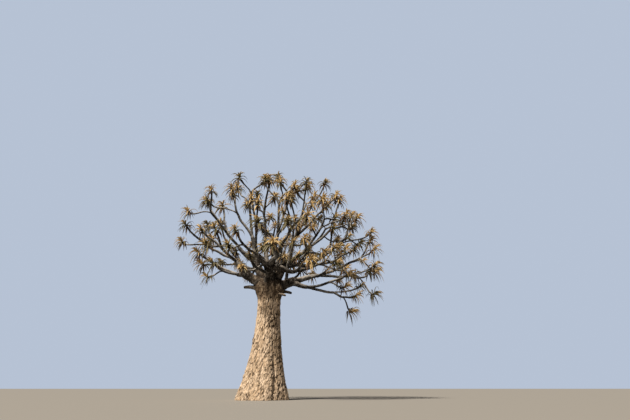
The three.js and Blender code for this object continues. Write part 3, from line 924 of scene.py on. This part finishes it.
def swept(path, radii, sides):
    """Rings round a path, and its two end points. The tip is a dome: three more rings on a circle's arc."""
    tangents, across, lift = hoops(path)
    shares = np.array([0.35, 0.7, 0.93])
    path = np.concatenate([path, path[-1] + tangents[-1] * (shares * radii[-1])[:, None]])
    radii = np.concatenate([radii, radii[-1] * np.sqrt(1 - shares**2)])
    across = np.concatenate([across, np.repeat(across[-1:], 3, axis=0)])
    lift = np.concatenate([lift, np.repeat(lift[-1:], 3, axis=0)])
    turn = np.linspace(0, 2 * math.pi, sides, endpoint=False)
    ring = across[:, None] * np.cos(turn)[None, :, None] + lift[:, None] * np.sin(turn)[None, :, None]
    end = path[-1] + tangents[-1] * 0.07 * radii[-1]
    return path[:, None] + ring * radii[:, None, None], path[0], end


def bough_body(body, limb, wood, bend, seed, sides=BOUGH_SIDES):
    """Adds a limb of the crown to a body: a crooked tube with plates and lumps, with sine-shaped flutes
    along it near the heart, and filled in where it meets its neighbours. Its bark has painted shade in the
    creases and the fork, painted light on top and painted shade beneath, and near the heart it is old and
    straw-coloured mostly on top, where the painted light falls."""
    path, radii = path_of(limb.spans, BOUGH_STEP)
    rings, first, last = swept(crooked(path, bend, seed), radii, sides)
    normals = normals_of(rings)
    flat = rings.reshape(-1, 3)
    height, crack_and_shade, tone = plates(flat, BOUGH_PLATES, seed)
    size = np.repeat(np.interp(np.arange(len(rings)), np.arange(len(radii)), radii), sides)
    rough = BOUGH_ROUGHNESS * (height - BOUGH_LEVEL) + BOUGH_ROUGHNESS * patches(flat, *BOUGH_LUMPS)
    turn = np.tile(np.linspace(0, 2 * math.pi, sides, endpoint=False), len(rings))
    depth = FLUTE_DEPTH * (1 - smooth_step(from_heart(flat), *FLUTE_ENDS))
    flutes = depth * np.sin(FLUTES * turn + patches(flat, FLUTE_BENDS))
    moved, near_crease = webbed(flat, normals, size, limb.owner, wood)
    moved = moved + normals * (size * (rough + flutes))[:, None]
    # Painted light on the top of the bough and painted shade beneath it, by its normal.
    painted_sunlit = painted_top_light(normals, flat)
    # Old straw-coloured bark near the heart follows the painted light, so it lies mostly on top.
    age = 0.5 * (1 - smooth_step(from_heart(flat), *YOUNG_ON_BOUGH)) * (0.15 + 0.85 * painted_sunlit)
    # Painted shade darkens the creases where boughs meet, on top of the cracks.
    crack_and_shade = np.clip((0.3 + age) * crack_and_shade + PAINTED_CREASE_SHADE * near_crease, 0, 1)
    # The tone is mostly painted light and shade, darkened further by painted shade in the fork.
    tone = (0.2 * tone + 0.8 * painted_sunlit) * painted_fork_shade(flat)
    marks = np.stack([np.append(mark, [0, 0]) for mark in (crack_and_shade, age, tone)])
    body.add_bodies(moved.reshape(1, *rings.shape), first[None], last[None], marks)


def stub_limb(azimuth, z, rise, length, radius):
    """A dead bough's broken end, from the trunk's middle at a height."""
    out = heading(azimuth, rise)
    start = np.array([LEAN, 0.0, z])
    radii = [radius * share for share in STUB_TAPER]
    return Limb("trunk", [Span(start, out, start + out * length, blend(out, 1, UP, -STUB_SAG), radii)])


def twig_body(body, limb, seed):
    """Adds a twig to a body: a lightly crooked tube of young bark, whose radius swells as a sine does, at
    old leaf scars. Its tone is painted light on top and painted shade beneath. Gives its tip and the
    direction there."""
    path, radii = path_of(limb.spans, TWIG_STEP)
    path = crooked(path, BENDS["twig"], seed)
    scars = 1.1 + 0.08 * np.sin(np.arange(len(radii)) * 2.1 + seed)
    rings, first, last = swept(path, radii * scars, TWIG_SIDES)
    # The twig's tone is painted light on top and painted shade beneath.
    tone = 0.07 + 0.93 * painted_top_light(normals_of(rings), rings.reshape(-1, 3))
    tone = np.append(tone, [0, 0])
    body.add_bodies(rings[None], first[None], last[None], np.stack([0 * tone, 0 * tone, tone]))
    return path[-1], hoops(path)[0][-1]


# Leaves

def leaf_bodies(roots, outs, sides, droops, lengths, widths):
    """Closed bodies of many leaves at once. Each spine leaves its root along `out` and bends down as
    gravity pulls at the far part. Across it the leaf is a flat lens with a keel below and its edges raised,
    and it narrows by powers of the length left, from a broad foot to a point."""
    s = np.append(LEAF_STATIONS, 1.0)
    way = unit(outs[:, None] - UP * (droops[:, None] * s[None] ** 1.4)[:, :, None])
    steps = np.diff(s)[None, :, None] * lengths[:, None, None] * (way[:, 1:] + way[:, :-1]) / 2
    steps = np.concatenate([np.zeros((len(roots), 1, 3)), np.cumsum(steps, axis=1)], axis=1)
    spine = roots[:, None] + steps
    lift = np.cross(way, sides[:, None])
    turn = np.linspace(0, 2 * math.pi, LEAF_CORNERS, endpoint=False)
    left = 1 - LEAF_STATIONS
    width = 0.5 * left**0.7 * (0.8 + 0.2 * smooth_step(LEAF_STATIONS, 0, 0.3))
    width = (widths[:, None] * width[None])[:, :, None]
    thick = LEAF_THICKNESS * 0.5 * left**0.6
    x = np.cos(turn)[None, None] * width
    bulge = np.where(np.sin(turn) > 0, 0.35, 1.0) * np.sin(turn)
    y = bulge[None, None] * thick[None, :, None] + LEAF_CUP * width * np.cos(turn)[None, None] ** 2
    rings = spine[:, :-1, None] + sides[:, None, None] * x[..., None] + lift[:, :-1, None] * y[..., None]
    return rings, spine[:, 0], spine[:, -1]


class Rosette:
    """Where a rosette sits, how large it is, and which tint its leaves have."""

    def __init__(self, tip, axis, size, tint):
        self.tip = tip
        self.axis = axis
        self.size = size
        self.tint = tint


def rosette_leaves(rosettes, random):
    """All leaves of these rosettes. They stand round the shoot by the golden angle, the young ones upright
    at its tip and the old ones lower, level and then hanging, each a little off by chance. Gives the leaf
    bodies' measures, and their age from 0 to 1."""
    count = len(rosettes)
    age = np.tile(np.linspace(0, 1, LEAVES), (count, 1)) + 0.05 * random.standard_normal((count, LEAVES))
    age = np.clip(age, 0, 1)
    tips = np.array([r.tip for r in rosettes])
    axes = np.array([r.axis for r in rosettes])
    sizes = np.array([r.size for r in rosettes])
    across = unit(np.cross(axes, [0.31, 0.95, 0.02]))
    lift = np.cross(axes, across)
    turn = np.radians(GOLDEN_ANGLE) * np.arange(LEAVES)[None] + FIRST_TURN * random.random((count, 1))
    turn = turn + 0.2 * random.standard_normal((count, LEAVES))
    away = across[:, None] * np.cos(turn)[..., None] + lift[:, None] * np.sin(turn)[..., None]
    scatter = (3 + 7 * age) * random.standard_normal((count, LEAVES))
    pitch = np.radians(ramp(LEAF_PITCH, age**0.8) + scatter)
    out = axes[:, None] * np.cos(pitch)[..., None] + away * np.sin(pitch)[..., None]
    side = np.cross(axes[:, None], away)
    depth = LEAFY_LENGTH * age * sizes[:, None]
    roots = tips[:, None] + axes[:, None] * (HEART_LIFT - depth)[..., None] + away * ROOT_OUT
    droops = ramp(LEAF_DROOP, age) + 0.4 * random.standard_normal((count, LEAVES))
    lengths = LEAF_LENGTH * sizes[:, None] * (0.35 + 0.65 * np.sin(2.1 * age + 0.4))
    lengths = lengths * (1 + 0.1 * random.standard_normal((count, LEAVES)))
    widths = LEAF_WIDTH * sizes[:, None] * np.ones((1, LEAVES))
    flat = [v.reshape(-1, 3) for v in (roots, out, side)]
    return (*flat, droops.ravel(), lengths.ravel(), widths.ravel()), age.ravel()


# Materials

def fill(tree, made, values):
    """Sets a node's sockets to their values. A value that is a socket is linked instead."""
    for key, value in values.items():
        if isinstance(value, bpy.types.NodeSocket):
            tree.links.new(value, made.inputs[key])
        else:
            made.inputs[key].default_value = value


def node(tree, kind, values, **settings):
    """A node with its settings and its sockets' values."""
    made = tree.nodes.new(kind)
    for key, value in settings.items():
        setattr(made, key, value)
    fill(tree, made, values)
    return made


def noise(tree, point, *, scale, **values):
    """The socket of a noise texture."""
    made = node(tree, "ShaderNodeTexNoise", {"Vector": point, "Scale": scale, **values})
    return made.outputs["Fac"]


def ranged(tree, value, low=0.0, high=1.0, to_low=0.0, to_high=1.0):
    """The socket of a value moved from the range `low` to `high` into another range, and held there."""
    levels = {"From Min": low, "From Max": high, "To Min": to_low, "To Max": to_high}
    return node(tree, "ShaderNodeMapRange", {"Value": value, **levels}).outputs["Result"]


def mix(tree, share, first, second):
    """The socket of two mixed colours, each a socket or red, green and blue. A share of 1 is the second."""
    colours = [c if isinstance(c, bpy.types.NodeSocket) else (*c, 1) for c in (first, second)]
    made = node(tree, "ShaderNodeMix", {"Factor": share, 6: colours[0], 7: colours[1]}, data_type="RGBA")
    return made.outputs[2]


def marked(tree, label):
    """The socket of one of the mesh's marks."""
    return node(tree, "ShaderNodeAttribute", {}, attribute_name=label).outputs["Fac"]


def new_material(name):
    """A material, its node tree and its shader."""
    material = bpy.data.materials.new(name)
    material.use_nodes = True
    return material, material.node_tree, material.node_tree.nodes["Principled BSDF"]


def weathering_group():
    """Patches of tone, fine streaks and small spots on bark: large soft noise, noise stretched along the
    stem, and fine noise of which only the peaks count."""
    group = bpy.data.node_groups.new("weathering", "ShaderNodeTree")
    inputs = {"Point": None, "Patch scale": 4.0, "Grain scale": 40.0, "Stretch": 0.25}
    for label, default in inputs.items():
        kind = "NodeSocketVector" if default is None else "NodeSocketFloat"
        socket = group.interface.new_socket(label, in_out="INPUT", socket_type=kind)
        if default is not None:
            socket.default_value = default
    for label in ("Tone", "Grain", "Spots"):
        group.interface.new_socket(label, in_out="OUTPUT", socket_type="NodeSocketFloat")
    given = node(group, "NodeGroupInput", {}).outputs
    stretch = node(group, "ShaderNodeCombineXYZ", {"X": 1.0, "Y": 1.0, "Z": given["Stretch"]}).outputs[0]
    along = node(group, "ShaderNodeVectorMath", {0: given["Point"], 1: stretch}, operation="MULTIPLY")
    tone = noise(group, given["Point"], scale=given["Patch scale"], Detail=4.0, Roughness=0.6)
    grain = noise(group, along.outputs[0], scale=given["Grain scale"], Detail=6.0, Roughness=0.7)
    peaks = noise(group, given["Point"], scale=24.0, Detail=4.0)
    spots = ranged(group, peaks, low=0.52, high=0.68)
    node(group, "NodeGroupOutput", {"Tone": tone, "Grain": grain, "Spots": spots})
    return group


def bark_material(name, weathering, grain_scale, bump, own_tone, tones):
    """Bark from dark to pale by its marked tone and the weathering's patches, from a bough's greys to an
    old trunk's straw by its marked age, darker in the cracks and the grain, with faint spots and a fine
    bump. The marked tone is mostly painted light and shade on young bark, and the marked cracks also hold
    painted shade in creases and hollows."""
    material, tree, shader = new_material(name)
    point = node(tree, "ShaderNodeTexCoord", {}).outputs["Object"]
    given = {"Point": point, "Grain scale": grain_scale}
    weather = node(tree, "ShaderNodeGroup", given, node_tree=weathering).outputs
    both = {0: marked(tree, "tone"), 1: own_tone, 2: weather["Tone"]}
    tone = ranged(tree, node(tree, "ShaderNodeMath", both, operation="MULTIPLY_ADD").outputs[0], *tones)
    age = marked(tree, "age")
    young = mix(tree, tone, YOUNG_BARK, YOUNG_BARK_PALE)
    old = mix(tree, tone, OLD_BARK, OLD_BARK_PALE)
    crack_and_shade_colour = mix(tree, age, YOUNG_CRACK_AND_SHADE, OLD_CRACK_AND_SHADE)
    colour = mix(tree, age, young, old)
    grain = ranged(tree, weather["Grain"], low=0.35, high=0.75, to_high=0.55)
    colour = mix(tree, grain, colour, crack_and_shade_colour)
    # The crack mark holds the cracks and the painted shade of creases, knot hollows and missing flakes.
    colour = mix(tree, marked(tree, "crack_and_shade"), colour, crack_and_shade_colour)
    faint = node(tree, "ShaderNodeMath", {0: weather["Spots"], 1: SPOT_SHARE}, operation="MULTIPLY")
    colour = mix(tree, faint.outputs[0], colour, mix(tree, age, YOUNG_SPOT, OLD_SPOT))
    relief = node(tree, "ShaderNodeBump", {"Height": weather["Grain"], "Strength": bump, "Distance": 0.01})
    rough = ranged(tree, weather["Grain"], to_low=0.75, to_high=0.95)
    fill(tree, shader, {"Base Color": colour, "Roughness": rough, "Specular IOR Level": 0.25,
                        "Normal": relief.outputs[0]})
    return material


def leaf_material(name, colour, deep, roughness):
    """A waxy leaf: one plain colour with faint clouds of a deeper one."""
    material, tree, shader = new_material(name)
    point = node(tree, "ShaderNodeTexCoord", {}).outputs["Object"]
    clouds = noise(tree, point, scale=9.0, Detail=3.0)
    cloudy = mix(tree, ranged(tree, clouds, low=0.35, high=0.7, to_high=0.6), colour, deep)
    rough = ranged(tree, clouds, to_low=roughness, to_high=roughness + 0.15)
    fill(tree, shader, {"Base Color": cloudy, "Roughness": rough, "Specular IOR Level": 0.35})
    return material


# The camera and the studio

def make_camera():
    """The photograph's view: from low down, looking up at the crown."""
    data = bpy.data.cameras.new("camera")
    data.lens = LENS
    data.sensor_width = SENSOR_WIDTH
    camera = add_object("camera", data)
    camera.location = CAMERA_PLACE
    camera.rotation_euler = (math.radians(90 + CAMERA_LOOK_UP), 0.0, math.radians(CAMERA_TURN))
    bpy.context.scene.camera = camera


def make_floor():
    """A pale square floor, so wide that its edge looks like the horizon."""
    mesh = bpy.data.meshes.new("floor")
    corners = [(FLOOR_REACH * x, FLOOR_REACH * y, 0) for x, y in ((-1, -1), (1, -1), (1, 1), (-1, 1))]
    mesh.from_pydata(corners, [], [(0, 1, 2, 3)])
    floor = add_object("floor", mesh)
    pale, tree, shader = new_material("floor")
    fill(tree, shader, {"Base Color": FLOOR_COLOUR, "Roughness": 0.9})
    mesh.materials.append(pale)


def make_light():
    """Plain pale surroundings, which look brighter than the soft light that they give, and a large warm sun
    at the front left."""
    world = bpy.data.worlds.new("surroundings")
    world.use_nodes = True
    tree = world.node_tree
    soft = tree.nodes["Background"]
    fill(tree, soft, {"Color": SOFT_COLOUR, "Strength": SOFT_STRENGTH})
    seen = node(tree, "ShaderNodeBackground", {"Color": BACKDROP_COLOUR, "Strength": 1.0})
    is_seen = node(tree, "ShaderNodeLightPath", {}).outputs["Is Camera Ray"]
    either = node(tree, "ShaderNodeMixShader", {0: is_seen, 1: soft.outputs[0], 2: seen.outputs[0]})
    fill(tree, tree.nodes["World Output"], {"Surface": either.outputs[0]})
    bpy.context.scene.world = world
    data = bpy.data.lights.new("key", "SUN")
    data.energy = SUN_STRENGTH
    data.angle = math.radians(SUN_WIDTH)
    data.color = SUN_COLOUR
    key = add_object("key", data)
    key.rotation_euler = (math.radians(SUN_SLANT), 0.0, math.radians(SUN_TURN))
    bpy.context.scene.view_settings.view_transform = "Standard"


# The tree's pieces

def make_trunk(wood, bark):
    """The trunk and the broken ends of dead boughs."""
    trunk = trunk_body(wood)
    for i, stub in enumerate(STUBS):
        bough_body(trunk, stub_limb(*stub), wood, BENDS["stub"], STUB_SEED + i, sides=STUB_SIDES)
    place("trunk_bark", trunk, bark, ["trunk"])


def make_boughs(crown, wood, bark):
    """The limbs and boughs."""
    boughs = Joined()
    for i, limb in enumerate(crown.boughs):
        bough_body(boughs, limb, wood, BENDS[limb.kind()], BOUGH_SEED + i)
    place("boughs", boughs, bark, [limb.owner for limb in crown.boughs])


def make_twigs(crown, bark, mass_names, random):
    """The twigs of the masses and the finer shoots. Gives the rosettes that they bear."""
    twigs = Joined()
    rosettes = []
    tints = list(TINTS)
    chances = [chance for chance, _ in TINTS.values()]
    for i, limb in enumerate(crown.stems + crown.shoots):
        tip, axis = twig_body(twigs, limb, TWIG_SEED + i)
        if limb.is_whole:
            tint = random.choice(tints, p=chances)
            size = random.uniform(*(TWIG_ROSETTES if i < len(crown.stems) else SHOOT_ROSETTES))
            rosettes.append(Rosette(tip, axis, size, tint))
    place("twigs", twigs, bark, mass_names)
    return rosettes


def make_leaves(rosettes, mass_names, random):
    """The leaves of all rosettes, sorted by age into golden, olive and dry ones."""
    leaves = {kind: Joined() for kind in LEAF_LOOKS}
    for tint, (_, last_golden) in TINTS.items():
        measures, age = rosette_leaves([r for r in rosettes if r.tint == tint], random)
        age = age + AGE_SCATTER * random.standard_normal(len(age))
        kinds = {"golden": age < last_golden, "dry": age > DRY_AGE}
        kinds["olive"] = ~kinds["golden"] & ~kinds["dry"]
        for kind, chosen in kinds.items():
            leaves[kind].add_bodies(*leaf_bodies(*[m[chosen] for m in measures]))
    for kind, joined in leaves.items():
        material = leaf_material(f"{kind}_leaf", *LEAF_LOOKS[kind])
        place(f"{kind}_leaves", joined, material, mass_names)


# The scene

make_camera()
make_floor()
make_light()

crown = grow_crown()
wood = wood_balls(crown)
mass_names = sorted({limb.owner for limb in crown.stems})
random = np.random.default_rng(SEED)

weathering = weathering_group()
old_bark = bark_material("trunk_bark", weathering, *TRUNK_BARK)
young_bark = bark_material("bough_bark", weathering, *BOUGH_BARK)

make_trunk(wood, old_bark)
make_boughs(crown, wood, young_bark)
rosettes = make_twigs(crown, young_bark, mass_names, random)
make_leaves(rosettes, mass_names, random)
